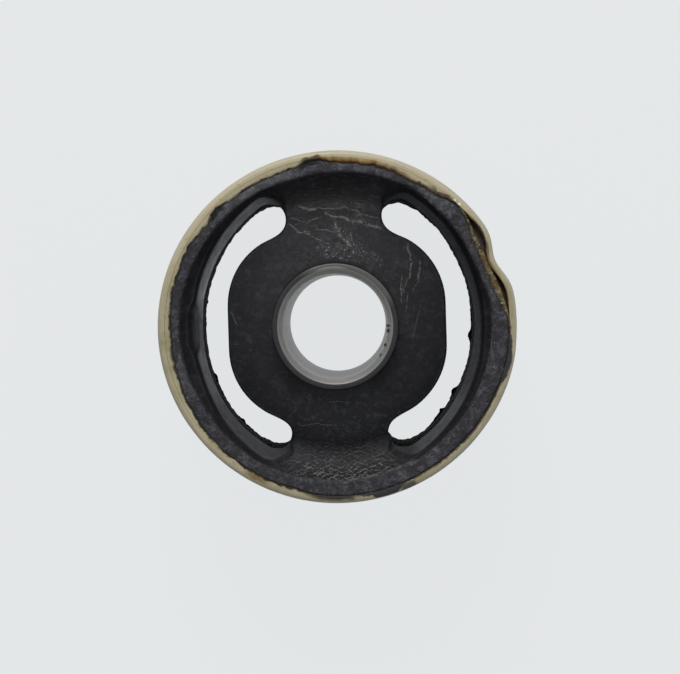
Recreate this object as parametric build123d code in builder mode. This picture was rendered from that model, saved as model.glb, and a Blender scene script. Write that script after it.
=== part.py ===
from build123d import *

import os
from math import cos, exp, radians, sin, sqrt

# A rubber and metal bush: a thin steel sleeve, a steel bolt tube and the rubber moulded between
# them. The bush stands on the end of its bolt tube, with Z up its axis and z = 0 at its foot.
# Sizes are in millimetres and angles in degrees, measured from +X towards +Y.

# ---- inner sleeve: the turned tube that the bolt goes through
bore_radius = 10.0
inner_wall = 1.9
inner_length = 50.0
bore_chamfer = 0.95
inner_edge_round = 0.25
settled = 0.25  # the used rubber has let the tube settle this far towards -X

# ---- outer sleeve: the thin tube that is pressed into the arm's eye
outer_radius = 34.0
outer_wall = 1.4
outer_length = 40.0
outer_edge_round = 0.9

# ---- damage to the upper end of the outer sleeve
crush_height = 12.0  # how far down the end is out of round
half_crush = 6.0  # the height at which the damage has faded to its middle share
middle_share = 0.38
oval = 0.4  # gained along X and lost along Y
dent_depth = 1.5
dent_angle = 20.7
dent_spread = 6.6  # the dent in the steel is a narrow fold
dent_power = 2
tear_spread = 15.5  # the rubber has come away from it over a wider arc
tear_power = 4  # the higher the power, the flatter the middle and the steeper the sides
outline_points = 96
rounding_turns = (0, 30, 60, 90)  # where the end's rounding is drawn, from wall to end face

# ---- rubber moulding, the same at both ends
rim_drop = 0.3  # from the end of the outer sleeve to the rubber's rim
rim_width = 3.0
rim_round = 0.7
recess_depth = 4.8  # from the rim down to the valley round the hub
flank_width = 6.0  # of the recess's hollow flank, from the rim in to the valley
valley_round = 2.5
boss_rise = 6.6  # how far the rubber climbs the inner sleeve above the valley
boss_lip = 0.7  # width of the boss's flat top
boss_curve = 21.8  # radius of the boss's hollow flank

# ---- the two kidney voids, which leave the hub held by two arms
arm_width = 18.0
liner = 6.05  # rubber between the outer sleeve and the void, at its thickest
liner_bow = 2.4  # how far the void's outer wall curves about a point beyond the bush's axis
stop_gap = 5.4  # the hub's free travel, from its flat to the void's outer wall
hub_flat = 8.0
hub_corner = 14.5
void_end_round = 3.2
end_share = 0.4  # the most of a void's end that each of its two rounds may take
mould_draft = 1.5  # the voids widen downwards from the upper ledge
ledge_width = 1.75  # a ledge runs along each void's outer wall
ledge_drop = 6.5  # from the rim down to the ledge
ledge_draft = 6.0

# ---- worked out from the sizes above
parting = inner_length / 2  # the mould parts half way up
inner_radius = bore_radius + inner_wall
half_outer = outer_length / 2
rim_height = half_outer - rim_drop  # heights of the moulding are from the parting plane
valley_height = rim_height - recess_depth
boss_height = valley_height + boss_rise
rim_radius = outer_radius - outer_wall - rim_width
recess_radius = rim_radius - flank_width  # where the valley lies
ledge_height = rim_height - ledge_drop
wall_reach = outer_radius - outer_wall - liner
wall_curve = wall_reach + liner_bow
hub_reach = wall_reach - stop_gap
arm_edge = arm_width / 2
past_end = 2.0  # how far a cutting shape runs past what it cuts
near = 0.01  # two lengths closer than this are the same

hub_centre = hub_reach - hub_corner
hub_shoulder = hub_flat / 2 + sqrt(hub_corner**2 - (arm_edge - hub_centre) ** 2)

bolt_axis = Plane(origin=(-settled, 0, 0))
side_view = Plane(origin=(0, 0, parting), x_dir=(1, 0, 0), z_dir=(0, -1, 0))


def section(height, inset, share, spread, power):
    """A level section `inset` inside the outer sleeve's wall, with a share of the end's damage."""
    points = []
    for step in range(outline_points):
        angle = step * 360 / outline_points
        off = abs((angle - dent_angle + 180) % 360 - 180)
        pushed = oval * cos(radians(2 * angle)) - dent_depth * exp(-((off / spread) ** power))
        radius = outer_radius - inset + share * pushed
        points.append((radius * cos(radians(angle)), radius * sin(radians(angle))))
    with BuildSketch(Plane.XY.offset(height)) as level:
        if share:
            with BuildLine():
                Spline(*points, periodic=True)
            make_face()
        else:
            Circle(outer_radius - inset)
    return level.sketch


def crushed_bar(inset, end_drop, spread, power, end_round=0):
    """A bar with the outer sleeve's outline: round for most of its length, then out of round."""
    foot = parting - half_outer + end_drop
    top = parting + half_outer
    crushed = top - end_round
    stations = [(top - crush_height, 0), (top - half_crush, middle_share), (crushed, 1)]
    levels = [section(height, inset, share, spread, power) for height, share in stations]
    rounding = []
    for turn in rounding_turns:
        height = crushed + end_round * sin(radians(turn))
        shrink = end_round * (1 - cos(radians(turn)))
        rounding.append(section(height, inset + shrink, 1, spread, power))
    with BuildPart() as bar:
        extrude(section(foot, inset, 0, spread, power), amount=top - crush_height - foot)
        loft(levels, ruled=True)
        if end_round:
            loft(rounding)
        if end_drop:
            split(bisect_by=Plane.XY.offset(top - end_drop), keep=Keep.BOTTOM)
    return bar.part


def shoulder(reach):
    """How far along the arm's edge the void's outer wall, or an arc `reach` beyond it, ends."""
    return sqrt((wall_curve + reach) ** 2 - (arm_edge + liner_bow) ** 2)


def wall_arc(reach):
    """The outer wall of the void on the right, `reach` beyond it: an arc from arm to arm."""
    middle = (wall_reach + reach, 0)
    return ThreePointArc((arm_edge, shoulder(reach)), middle, (arm_edge, -shoulder(reach)))


# ------------------------------------------------------------------ inner sleeve
with BuildPart() as inner_sleeve:
    with BuildSketch(bolt_axis):
        Circle(inner_radius)
        Circle(bore_radius, mode=Mode.SUBTRACT)
    extrude(amount=inner_length)
    rims = inner_sleeve.edges().filter_by(GeomType.CIRCLE).group_by(SortBy.RADIUS)
    chamfer(rims[0], bore_chamfer)
    fillet(rims[-1], inner_edge_round)

inner_sleeve.part.label = "inner_sleeve"

# ------------------------------------------------------------------ outer sleeve
outside = crushed_bar(0, 0, dent_spread, dent_power, outer_edge_round)
inside = crushed_bar(outer_wall, 0, dent_spread, dent_power)

with BuildPart() as outer_sleeve:
    add(outside)
    add(inside, mode=Mode.SUBTRACT)
    foot = outer_sleeve.faces().sort_by(Axis.Z)[0]
    fillet(foot.outer_wire().edges(), outer_edge_round)

outer_sleeve.part.label = "outer_sleeve"

# ------------------------------------------------------------------ rubber body
cavity = crushed_bar(outer_wall, rim_drop, tear_spread, tear_power)

# the plan of the two voids: each lies between the rim's wall and the hub, and ends at the arms
with BuildSketch() as voids:
    with BuildLine():
        wall = wall_arc(0)
        flat = Line((hub_reach, hub_flat / 2), (hub_reach, -hub_flat / 2))
        for end, side in ((0, 1), (1, -1)):
            corner = Vector(arm_edge, side * hub_shoulder)
            RadiusArc(flat @ end, corner, -side * hub_corner)
            Line(corner, wall @ end)
    make_face()
    end_width = shoulder(0) - hub_shoulder
    fillet(voids.vertices().group_by(Axis.X)[0], min(void_end_round, end_share * end_width))
    mirror(about=Plane.YZ)

# the plan of the ledge that is let into each void's outer wall, seen from either end: it follows
# the void's outline, and runs out round the void's ends
with BuildSketch() as ledges:
    add(voids.sketch)
    offset(amount=ledge_width)
    with BuildLine():
        clear = wall_arc(-stop_gap / 2)
        run_out = (arm_edge - ledge_width, shoulder(0))
        ahead = Polyline(clear @ 0, run_out, (0, run_out[1]))
        behind = Polyline(clear @ 1, (run_out[0], -run_out[1]), (0, -run_out[1]))
        Line(ahead @ 1, behind @ 1)
    hub_side = make_face(mode=Mode.PRIVATE)
    add((hub_side, mirror(hub_side, about=Plane.YZ, mode=Mode.PRIVATE)), mode=Mode.SUBTRACT)

with BuildPart() as rubber_body:
    add(cavity)

    # a recess in each end, from the rim's hollow flank down to the valley
    with BuildSketch(side_view):
        with BuildLine():
            valley = Line((0, valley_height), (recess_radius, valley_height))
            flank = TangentArc(valley @ 1, (rim_radius, rim_height), tangent=(1, 0))
            top = rim_height + past_end
            Polyline(flank @ 1, (rim_radius, top), (0, top), valley @ 0)
        make_face()
        mirror(about=Plane.XZ)
    revolve(axis=Axis.Z, mode=Mode.SUBTRACT)

    # the hub's boss, which climbs the inner sleeve
    with BuildSketch(side_view):
        with BuildLine():
            valley = Line((0, 0), (recess_radius, 0))
            wall = Line(valley @ 1, (recess_radius, valley_height))
            lip = Line((inner_radius + boss_lip, boss_height), (0, boss_height))
            RadiusArc(wall @ 1, lip @ 0, -boss_curve)
            Line(lip @ 1, valley @ 0)
        make_face()
        mirror(about=Plane.XZ)
    revolve(axis=Axis.Z)
    rings = rubber_body.edges().filter_by(GeomType.CIRCLE)
    fillet([ring for ring in rings if abs(ring.radius - recess_radius) < near], valley_round)
    fillet([ring for ring in rings if abs(ring.radius - rim_radius) < near], rim_round)

    # the voids run right through, and widen downwards from the upper ledge
    for way, widening in ((1, 0), (-1, mould_draft)):
        with BuildSketch(Plane(origin=(0, 0, parting + ledge_height), z_dir=(0, 0, way))):
            add(voids.sketch)
        extrude(amount=inner_length, taper=-widening, mode=Mode.SUBTRACT)

    # the ledges, from both ends
    for way in (1, -1):
        height = parting + way * ledge_height
        with BuildSketch(Plane(origin=(0, 0, height), z_dir=(0, 0, way))):
            add(ledges.sketch)
        extrude(amount=ledge_drop + past_end, taper=-ledge_draft, mode=Mode.SUBTRACT)

    with BuildSketch(bolt_axis):
        Circle(inner_radius)
    extrude(amount=inner_length, mode=Mode.SUBTRACT)

rubber_body.part.label = "rubber_body"

os.makedirs("parts", exist_ok=True)
for piece in (inner_sleeve, outer_sleeve, rubber_body):
    export_step(piece.part, f"parts/{piece.part.label}.step")
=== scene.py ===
# %% [markdown]
# # A used rubber and metal bush
# A bush of this kind joins a car's suspension arm to its bracket. It has three pieces: a thin steel
# sleeve pressed into the arm, a thick steel tube for the bolt, and black rubber moulded between
# them and bonded to both. This one has been pressed out of its arm, so its upper end is bruised.
#
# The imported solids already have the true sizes. The script reads its shapes from them by casting
# rays, and then makes each piece again as a finer mesh, with its wear, before it gets a finish.
# Sizes in the script are millimetres, and angles are degrees from +X towards +Y.

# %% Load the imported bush
import math
from functools import reduce

import bmesh
import bpy
import numpy as np
from mathutils import Matrix, Vector
from mathutils.bvhtree import BVHTree
from mathutils.geometry import delaunay_2d_cdt


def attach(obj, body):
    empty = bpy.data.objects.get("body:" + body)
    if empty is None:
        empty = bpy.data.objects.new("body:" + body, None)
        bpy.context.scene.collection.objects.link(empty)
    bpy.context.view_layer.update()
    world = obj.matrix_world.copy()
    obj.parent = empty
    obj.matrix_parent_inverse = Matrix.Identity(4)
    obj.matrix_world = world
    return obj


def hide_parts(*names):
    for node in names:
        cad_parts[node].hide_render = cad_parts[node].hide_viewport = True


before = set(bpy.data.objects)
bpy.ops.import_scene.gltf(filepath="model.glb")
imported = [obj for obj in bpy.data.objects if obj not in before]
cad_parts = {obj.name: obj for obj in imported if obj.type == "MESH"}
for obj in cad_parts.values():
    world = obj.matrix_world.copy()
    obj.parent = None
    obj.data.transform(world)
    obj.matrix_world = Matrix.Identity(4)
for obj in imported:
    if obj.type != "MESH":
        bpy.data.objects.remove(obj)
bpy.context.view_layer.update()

mm = 0.001
print("solids:", ", ".join(sorted(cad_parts)))

# %% [markdown]
# ## The camera
# The bush stands on its end and the camera looks down on it, a little off its axis. A long lens
# from about half a metre keeps the far end of the bore only slightly smaller than the near end.
# The picture's own numbers are given in pixels and turned into a lens and a place for the camera.

# %% Camera
picture_width, picture_height = 680, 674
focal_length = 2253.0  # pixels
above_rim = 430.0
rim_top = 45.0
roll = math.radians(1.8)
vanishing = (363.0, 294.0)  # the pixel towards which lines along the bush's axis run
off_axis = (5.0, 6.1)

upward = Vector(
    (
        (picture_width / 2 - vanishing[0]) / focal_length,
        (vanishing[1] - picture_height / 2) / focal_length,
        1,
    )
).normalized()
across = Vector((math.cos(roll), math.sin(roll), 0))
across = (across - upward * across.dot(upward)).normalized()
axes = Matrix((across, upward.cross(across), upward))

camera_data = bpy.data.cameras.new("camera")
camera_data.sensor_width = 36
camera_data.sensor_fit = "HORIZONTAL"
camera_data.lens = focal_length / picture_width * camera_data.sensor_width
camera_data.clip_start = 0.01
camera = bpy.data.objects.new("camera", camera_data)
bpy.context.scene.collection.objects.link(camera)
place = Vector(
    (
        off_axis[0] * math.cos(roll) + off_axis[1] * math.sin(roll),
        off_axis[1] * math.cos(roll) - off_axis[0] * math.sin(roll),
        rim_top + above_rim,
    )
)
camera.matrix_world = Matrix.Translation(place * mm) @ axes.to_4x4()
bpy.context.scene.camera = camera
print(f"camera: {camera_data.lens:.1f} mm lens, {place.z:.0f} mm above the foot of the bush")

# %% [markdown]
# ## Tools for rough edges
# Wear is never regular. Lumps of a chosen size make it, the same on every run because each
# lattice corner's number comes from its own coordinates, and finer lumps are added to coarse ones.
# Damage at a known angle is a bell curve round the bush, or a table of angles and amounts.


# %% Lumps, roughness and bell curves
def corner_value(corner, seed):
    """A repeatable number from -1 to 1 for each corner of a lattice."""
    x, y, z = (corner[..., axis].astype(np.int64) for axis in range(3))
    mixed = (x * 73856093) ^ (y * 19349663) ^ (z * 83492791) ^ (seed * 2654435761)
    mixed = (mixed ^ (mixed >> 13)) * 1274126177 & 0xFFFFFFFF
    mixed = (mixed ^ (mixed >> 16)) * 2246822519 & 0xFFFFFFFF
    return (mixed ^ (mixed >> 15)) / 0x7FFFFFFF - 1


def lumps(points, size, seed=0):
    """Smooth lumps about `size` millimetres across, from -1 to 1."""
    scaled = np.asarray(points, float) / size
    base = np.floor(scaled)
    blend = scaled - base
    blend = blend * blend * (3 - 2 * blend)
    total = np.zeros(scaled.shape[:-1])
    for corner in np.ndindex(2, 2, 2):
        share = np.prod(np.where(corner, blend, 1 - blend), axis=-1)
        total += share * corner_value(base + corner, seed)
    return total


def rough(points, size, seed=0, octaves=3):
    """Lumps on lumps: each octave is half the size and half the height of the last."""
    total = sum(lumps(points, size / 2**n, seed + n) / 2**n for n in range(octaves))
    return total / (2 - 2 ** (1 - octaves))


def near_angle(angle, middle, spread, power=2):
    """1 at an angle of the bush, fading to 0 about `spread` degrees to each side."""
    off = np.abs((angle - middle + 180) % 360 - 180)
    return np.exp(-((off / spread) ** power))


def from_table(angle, table, column=1):
    """What a table gives at an angle of the bush. Each of its rows begins with an angle."""
    columns = np.array(table).T
    return np.interp(angle, columns[0], columns[column], period=360)


def step(value, low, high):
    """0 below low, 1 above high, and a smooth slope between."""
    t = np.clip((value - low) / (high - low), 0, 1)
    return t * t * (3 - 2 * t)


def around_axis(points):
    """How far points lie from the bush's axis, and at what angle."""
    x, y = points[:, 0], points[:, 1]
    return np.hypot(x, y), np.degrees(np.arctan2(y, x))


def levelled(points):
    """The points with no height, so that lumps run straight down through the bush."""
    return np.c_[points[:, :2], np.zeros(len(points))]


ring = np.radians(np.arange(0, 360, 1))
ring_points = np.stack((34 * np.cos(ring), 34 * np.sin(ring), 0 * ring), axis=-1)
ring_roughness = rough(ring_points, 3)
print(f"roughness round the rim: {ring_roughness.min():.2f} to {ring_roughness.max():.2f}")

# %% [markdown]
# ## Reading shapes from the solids
# A ray cast at a solid gives one point of its surface, so a fan of rays gives a profile. The
# outlines of the voids come from a level cut through the rubber instead: its edges are chained
# into loops and divided evenly.


# %% Rays and level cuts
def ray_tree(node):
    return BVHTree.FromObject(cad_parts[node], bpy.context.evaluated_depsgraph_get())


trees = {node: ray_tree(node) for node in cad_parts}


def ray_lengths(node, starts, directions, missed=np.nan):
    """How far each ray runs before it meets the solid, in millimetres."""
    tree = trees[node]
    found = []
    for start, direction in zip(starts.tolist(), directions.tolist()):
        length = tree.ray_cast(Vector(start) * mm, Vector(direction))[3]
        found.append(missed if length is None else length / mm)
    return np.array(found)


def level_loops(node, height):
    """The closed outlines of a solid at a height, as arrays of x and y."""
    cut = bmesh.new()
    cut.from_mesh(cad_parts[node].data)
    bmesh.ops.remove_doubles(cut, verts=cut.verts, dist=1e-7)
    everything = [*cut.verts, *cut.edges, *cut.faces]
    plane = {"plane_co": (0, 0, height * mm), "plane_no": (0, 0, 1)}
    made = bmesh.ops.bisect_plane(cut, geom=everything, **plane)["geom_cut"]
    onward = {}
    for edge in (item for item in made if isinstance(item, bmesh.types.BMEdge)):
        a, b = edge.verts
        onward.setdefault(a, []).append(b)
        onward.setdefault(b, []).append(a)
    loops = []
    while onward:
        at = next(iter(onward))
        loop = []
        while at in onward:
            loop.append((at.co.x / mm, at.co.y / mm))
            at = next((v for v in onward.pop(at) if v in onward), None)
        loops.append(np.array(loop))
    cut.free()
    return loops


def even_loop(loop, spacing):
    """A closed loop divided evenly, anticlockwise, from its point nearest +X and half way up."""
    area = np.sum(loop[:, 0] * np.roll(loop[:, 1], -1) - np.roll(loop[:, 0], -1) * loop[:, 1])
    loop = loop if area > 0 else loop[::-1]
    loop = np.roll(loop, -np.argmax(loop[:, 0] - np.abs(loop[:, 1])), axis=0)
    closed = np.vstack((loop, loop[:1]))
    along = np.r_[0, np.cumsum(np.hypot(*np.diff(closed, axis=0).T))]
    stops = np.linspace(0, along[-1], round(along[-1] / spacing), endpoint=False)
    return np.stack([np.interp(stops, along, closed[:, axis]) for axis in (0, 1)], axis=-1)


def sideways(loop):
    """The level direction that points out of an anticlockwise loop, at each of its points."""
    along = np.roll(loop, -2, axis=0) - np.roll(loop, 2, axis=0)
    along /= np.hypot(*along.T)[:, None]
    return np.stack((along[:, 1], -along[:, 0]), axis=-1)


def eased(loop, reach=1.5):
    """The loop with the corners at its two ends rounded further, as the moulding has them."""
    steps = np.arange(-16, 17)
    weights = np.exp(-((steps * loop_spacing / reach) ** 2) / 2)
    average = sum(w * np.roll(loop, n, axis=0) for n, w in zip(steps, weights)) / weights.sum()
    share = step(void_end - np.abs(loop[:, :1]), 0, 2.5)
    loop = loop + share * (average - loop)
    hub_side = 1 - step(np.hypot(*loop.T), 20, 23)
    return loop - hub_sunk * hub_side[:, None] * (0, 1)


ledge_height, loop_spacing = 38.2, 0.3
void_end = 14.5  # a void's ends lie nearer the bush's Y axis than this
hub_sunk = 0.18  # how far the hub hangs towards -Y
void_loops = level_loops("rubber_body", ledge_height - 0.05)
void_loops = [even_loop(loop, loop_spacing) for loop in void_loops]
void_loops = [eased(loop) for loop in void_loops if abs(loop[:, 0].mean()) > 10]
void_loops.sort(key=lambda loop: loop[:, 0].mean())
for loop in void_loops:
    print(f"void: {len(loop)} points, x {loop[:, 0].min():.2f} to {loop[:, 0].max():.2f}")

# %% [markdown]
# ## A skin made row by row
# Every piece here is a skin of rows: closed rings of points, each joined to the next by four-sided
# faces. That gives even faces along an edge, which shade cleanly. Where rings of different shapes
# have to meet on a face, the space between them is filled with triangles over a honeycomb of
# points, by a constrained Delaunay triangulation.


# %% The skin
class Skin:
    """Points in millimetres, and the faces between them."""

    def __init__(self):
        self.points, self.faces, self.count = [], [], 0

    def row(self, points):
        """Adds a row of points and gives back their numbers."""
        self.points.append(np.asarray(points, float))
        self.count += len(points)
        return np.arange(self.count - len(points), self.count)

    def join(self, first, second):
        """Four-sided faces between two closed rows of the same length."""
        sides = (first, np.roll(first, -1), np.roll(second, -1), second)
        self.faces += np.stack(sides, axis=-1).tolist()

    def rows(self, levels, joined_to=None):
        """Adds closed rows one after another, each joined to the last, and gives the last."""
        last = joined_to
        for points in levels:
            new = self.row(points)
            if last is not None:
                self.join(last, new)
            last = new
        return last

    def fill(self, rings, outer, spacing, height_at):
        """Triangles between the rings, over a honeycomb. `outer` is the ring round all."""
        at = np.vstack(self.points)
        plans = [at[ring, :2].astype(np.float32).astype(float) for ring in rings]
        border = np.vstack(plans)
        low, high = border.min(0), border.max(0)
        xs = np.arange(low[0], high[0], spacing)
        ys = np.arange(low[1], high[1], spacing * math.sqrt(3) / 2)
        comb = np.array([(x + spacing / 2 * (n % 2), y) for n, y in enumerate(ys) for x in xs])
        comb = comb[self.between(comb, plans, outer)]
        room = np.array([np.min(np.sum((border - p) ** 2, axis=1)) for p in comb])
        comb = comb[room > (0.7 * spacing) ** 2]
        shift = spacing * 0.12
        aside = [lumps(levelled(comb), 0.7, seed) for seed in (5, 6)]
        comb = comb + shift * np.stack(aside, axis=-1)
        new = self.row(np.c_[comb, height_at(comb)])
        numbers = np.r_[np.concatenate(rings), new]
        plan = np.vstack((border, comb)).astype(np.float32).astype(float)
        edges, start = [], 0
        for ring in rings:
            stop = start + len(ring)
            edges += [(n, n + 1 if n + 1 < stop else start) for n in range(start, stop)]
            start = stop
        made = delaunay_2d_cdt([Vector(p) for p in plan.tolist()], edges, [], 0, 1e-7)
        corners = np.array(made[2])
        source = np.array([group[0] for group in made[3]])
        middles = plan[source][corners].mean(axis=1)
        corners = corners[self.between(middles, plans, outer)]
        self.faces += numbers[source[corners]].tolist()

    @staticmethod
    def between(spots, plans, outer):
        """Which spots lie inside the outer plan and outside all the others."""
        kept = np.ones(len(spots), bool)
        for number, plan in enumerate(plans):
            inside = np.zeros(len(spots), bool)
            for (ax, ay), (bx, by) in zip(plan, np.roll(plan, -1, axis=0)):
                crosses = (ay > spots[:, 1]) != (by > spots[:, 1])
                if ay != by:
                    crossing = ax + (spots[:, 1] - ay) * (bx - ax) / (by - ay)
                    inside ^= crosses & (spots[:, 0] < crossing)
            kept &= inside if number == outer else ~inside
        return kept

    def piece(self, name, node, slot, crease=38.0, **masks):
        """The finished object, riding with the bush and standing for its solid."""
        at = np.vstack(self.points)
        mesh = bpy.data.meshes.new(name)
        mesh.from_pydata((at * mm).tolist(), [], self.faces)
        whole = bmesh.new()
        whole.from_mesh(mesh)
        bmesh.ops.recalc_face_normals(whole, faces=whole.faces)
        holes = sum(not edge.is_manifold for edge in whole.edges)
        whole.to_mesh(mesh)
        whole.free()
        mesh.polygons.foreach_set("use_smooth", [True] * len(mesh.polygons))
        mesh.set_sharp_from_angle(angle=math.radians(crease))
        for mask, values in masks.items():
            mesh.attributes.new(mask, "FLOAT", "POINT").data.foreach_set("value", values)
        obj = bpy.data.objects.new(name, mesh)
        bpy.context.scene.collection.objects.link(obj)
        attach(obj, "root")
        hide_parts(node)
        triangles = sum(len(polygon.vertices) - 2 for polygon in mesh.polygons)
        print(f"{name}: {len(at)} points, {triangles} triangles, {holes} open edges")
        return obj


def polar(radius, angle, height, centre=0.0):
    """Points in space from radii, angles in degrees and heights, any of them a single number."""
    radius, angle, height = np.broadcast_arrays(radius, angle, height)
    turn = np.radians(angle)
    return np.stack((centre + radius * np.cos(turn), radius * np.sin(turn), height), axis=-1)


# %% [markdown]
# ## The rubber moulding
# The rubber is bonded to both sleeves. From above it is a hub round the bolt tube, two arms that
# hold the hub, and a rim against the outer sleeve, with a kidney-shaped void each side. A ledge
# runs along the outer wall of each void, and under it the wall ends in ragged flash.
#
# One skin makes all of it. Rows run down each void's wall, and from the wall's two ends out over
# the ledge and up to the surface. The rim has rows of its own, because there the rubber has torn
# back from the steel. A honeycomb joins them, at a height read from the solid.

# %% How high the rubber's surface lies
parting = 25.0
ray_top = 60.0
profile_radii = np.arange(12.0, 32.0, 0.1)
starts = np.stack((0 * profile_radii, profile_radii, 0 * profile_radii + ray_top), axis=-1)
downwards = np.tile((0.0, 0.0, -1.0), (len(starts), 1))
profile_heights = ray_top - parting - ray_lengths("rubber_body", starts, downwards)


def surface(radius):
    """The height of the rubber's face above the parting plane, at a distance from the axis."""
    return np.interp(radius, profile_radii, profile_heights)


for name, radius in (("hub", 12.3), ("valley", 24), ("rim", 31)):
    print(f"{name} {surface(radius) + parting:.1f} high")


# %% How far the wall of a void leans back, and how wide its ledge is
too_far = 24.0  # a ray that runs half as far has missed the wall of its own void


def wall_back(loop, out, height, inside=2.2):
    """How far out of the loop a void's wall stands at a height."""
    starts = np.c_[loop - inside * out, np.full(len(loop), height)]
    reach = ray_lengths("rubber_body", starts, levelled(out), missed=too_far)
    return np.where(reach > too_far / 2, 0, reach - inside)


for loop in void_loops:
    out = sideways(loop)
    widths = wall_back(loop, out, ledge_height + 0.1)
    lower_end = wall_back(loop, out, 12).max()
    print(f"ledge up to {widths.max():.2f} wide; the wall's lower end {lower_end:.2f} further out")

# %% [markdown]
# ## The fold in the steel
# The solids hold the sleeve's crushed mouth and its one narrow fold. On the real sleeve the fold
# runs on as a shallow crease, half way down the tube, and the mouth sags a little towards -Y. Both
# the sleeve and the rubber behind it follow, so one function serves both: it takes a wall's radius
# at every column of the skin and gives it back with the crease and the sag.

# %% Walls of the sleeve, with its crease
columns = 960
angles = np.arange(columns) * 360 / columns
circle = polar(32, angles, 0)
crush_heights = (33.0, 39.0, 44.1)
crush_shares = (0, 0.38, 1)  # how much of the fold the solids have at each height
crease_foot, crease_top, crease_depth = 17.0, 44.0, 1.08
sag_depth, sag_angle, sag_spread = 0.28, 266, 38
ray_start = 45.0  # for rays that come from outside


def outer_wall(node, height, outwards=False):
    """The radius of a sleeve or of the rubber at each column, met from outside or inside."""
    start = 0.0 if outwards else ray_start
    turn = np.radians(angles)
    way = np.stack((np.cos(turn), np.sin(turn), 0 * turn), axis=-1) * (1 if outwards else -1)
    reach = ray_lengths(node, polar(start, angles, height), way)
    return np.abs(start - reach)


shaft_wall, mouth_wall = outer_wall("outer_sleeve", 25.0), outer_wall("outer_sleeve", 44.0)
oval = (mouth_wall - shaft_wall)[columns // 2]
fold = np.clip(shaft_wall + oval * np.cos(2 * np.radians(angles)) - mouth_wall, 0, None)


def creased(wall, height):
    """A wall's radius at a height, with the crease run on down the tube and the mouth's sag."""
    had = np.interp(height, crush_heights, crush_shares)
    wanted = crease_depth * np.clip((height - crease_foot) / (crease_top - crease_foot), 0, 1)
    pushed = sag_depth * near_angle(angles, sag_angle, sag_spread)
    swell = 0.02 + 0.13 * np.cos(np.radians(angles - 325)) + 0.05 * near_angle(angles, 343, 12)
    swell *= np.where(swell > 0, step(np.abs(np.sin(np.radians(angles))), 0.04, 0.22), 1)
    return wall - (wanted - had) * fold + (pushed + swell) * had


print(f"fold {fold.max():.2f} mm deep at {angles[fold.argmax()]:.0f} degrees")
print(f"mouth {oval:.2f} mm out of round")

# %% [markdown]
# ## The rim's damage
# At the upper end the rubber has torn back from the steel, most of all on the -X side and at the
# fold. There the bonding coat shows between them, flush with the steel's mouth. In a few places it
# is the other way round, and a smear of rubber lies over the steel. A table of places says
# how far the rubber's edge stops short of the steel, and roughness makes the edge ragged.

# %% Where the rubber stops short of the steel
torn_back = (  # angle in degrees, and millimetres: less than nothing where the rubber runs over
    (-23, 0.1), (-13.5, -0.95), (-6, -0.15), (2, 0.2), (5, 0.65), (20, 1.0), (34, 0.65),
    (42.5, 0.1), (50, 1.0), (56, 1.3), (91, 0.75), (94.5, 0.2), (99, 0.25), (103, 0.8),
    (118, 1.05), (127, 1.0), (134, 0.2), (140, 1.15), (143, 1.15), (148, 0.6), (159, 0.9),
    (168, 0.78), (184, 1.07), (208, 0.7), (240, 0.2), (255, 0.5), (260, 0.0), (269, -0.5),
    (272, -0.3), (275, 0.0), (280, -0.25), (281.2, -1.15), (285, -1.2), (288.6, -1.1),
    (290.5, -0.2), (294, 0.1), (318, 0.05),
)
chip = from_table(angles, torn_back)
ragged = 0.17 * rough(circle, 2.2, 11) + 0.13 * rough(circle, 0.8, 12, 2)
chip += ragged * (0.5 + step(chip, 0, 0.6))
print(f"the rubber stops {chip.min():.2f} to {chip.max():.2f} short of the steel")


# %% Where the rim's inner edge runs, and how high the face lies
rim_edges = (  # angle in degrees, and the radius of the rim's inner edge there
    (0, 29.72), (9, 29.7), (14, 29.15), (25, 28.75), (33, 29.08), (47, 29.15), (58, 29.72),
    (78, 29.64), (103, 29.15), (118, 29.6), (148, 29.88), (180, 30.16), (198, 30.05),
    (210, 29.78), (248, 29.88), (268, 29.5), (308, 29.42), (328, 29.7),
)
solid_rim = 29.6  # the same radius in the solid


def face_height(way, spots):
    """How far one end's face lies from the parting plane, with the rim's worn inner edge."""
    radius, angle = around_axis(spots)
    flat = levelled(spots)
    wander = 0.2 * rough(flat, 5, 51) + 0.1 * rough(flat, 1.2, 52)
    wander = wander + solid_rim - from_table(angle, rim_edges)
    return surface(radius + (wander * step(radius, 26, 28.5) if way > 0 else 0))


# %% The rim's rows, from the face out to the steel
rim_face = 19.7  # of both ends, from the parting plane


def torn_open_at(angle):
    """1 where the fold has opened a gap between the rubber and the steel, and 0 elsewhere."""
    return near_angle(angle, 22, 17, 4)


pulled = 0.05 * near_angle(angles, 32, 6.5, 4) - 0.25 * near_angle(angles, 12, 6)
rim_bond = creased(outer_wall("rubber_body", parting + rim_face - 0.1), parting + rim_face) - pulled
chip = chip - pulled


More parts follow.
